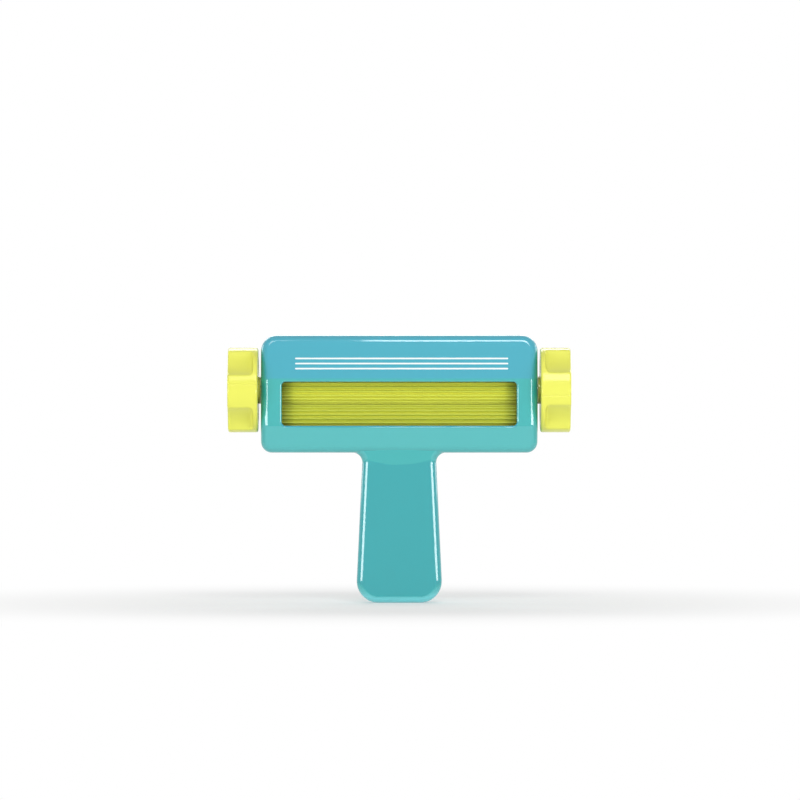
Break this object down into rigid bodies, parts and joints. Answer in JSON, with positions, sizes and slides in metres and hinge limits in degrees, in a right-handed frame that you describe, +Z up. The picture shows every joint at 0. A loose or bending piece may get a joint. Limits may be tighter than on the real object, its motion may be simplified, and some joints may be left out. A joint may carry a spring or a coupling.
{
  "type": "paper crimper",
  "caption": "Hand-held T-shaped crimper: knobs at the ends of the head turn meshing fluted rollers that corrugate paper fed through the window between them.",
  "frame": {"origin": "middle of the handle's flat butt, in the plane where the two body shells meet", "axes": "+X along the rollers towards the right-hand knob, +Y from the printed front to the screwed back, +Z up the handle to the head"},
  "size_m": [0.186, 0.046, 0.1453],
  "materials": {
    "shell": "gloss turquoise moulding",
    "roller": "satin lime-yellow moulding",
    "knob": "gloss lemon-yellow moulding",
    "knob_cap": "gloss lemon-yellow moulding",
    "steel": "plain bright steel",
    "bearing": "natural white bearing plastic"
  },
  "bodies": {
    "housing": {"front_shell": "shell", "back_shell": "shell", "left_side_frame": "bearing", "right_side_frame": "bearing", "left_drive_bush": "bearing", "right_drive_bush": "bearing", "left_spring_seat": "bearing", "right_spring_seat": "bearing", "left_pressure_spring": "steel", "right_pressure_spring": "steel", "head_screws": "steel", "handle_screws": "steel"},
    "drive": {"drive_roller": "roller", "drive_shaft": "steel", "left_knob": "knob", "right_knob": "knob", "left_knob_cap": "knob_cap", "right_knob_cap": "knob_cap", "knob_screws": "steel", "knob_washers": "steel"},
    "carriage": {"left_idler_block": "bearing", "right_idler_block": "bearing"},
    "idler": {"idler_roller": "roller", "idler_shaft": "steel"}
  },
  "joints": [
    {"name": "drive_spin", "type": "hinge", "parent": "housing", "child": "drive", "pos_m": [0, 0, 0.1155], "axis": [1, 0, 0], "continuous": true},
    {"name": "carriage_lift", "type": "slide", "parent": "housing", "child": "carriage", "axis": [0, 0, -1], "range_m": [0, 0.0008], "stiffness_N_per_m": 1200, "springref_m": -0.004, "deforming": ["left_pressure_spring", "right_pressure_spring"]},
    {"name": "idler_spin", "type": "hinge", "parent": "carriage", "child": "idler", "pos_m": [0, 0, 0.1003], "axis": [1, 0, 0], "continuous": true}
  ],
  "couplings": [
    {"joint": "idler_spin", "follows": "drive_spin", "ratio": -1}
  ]
}
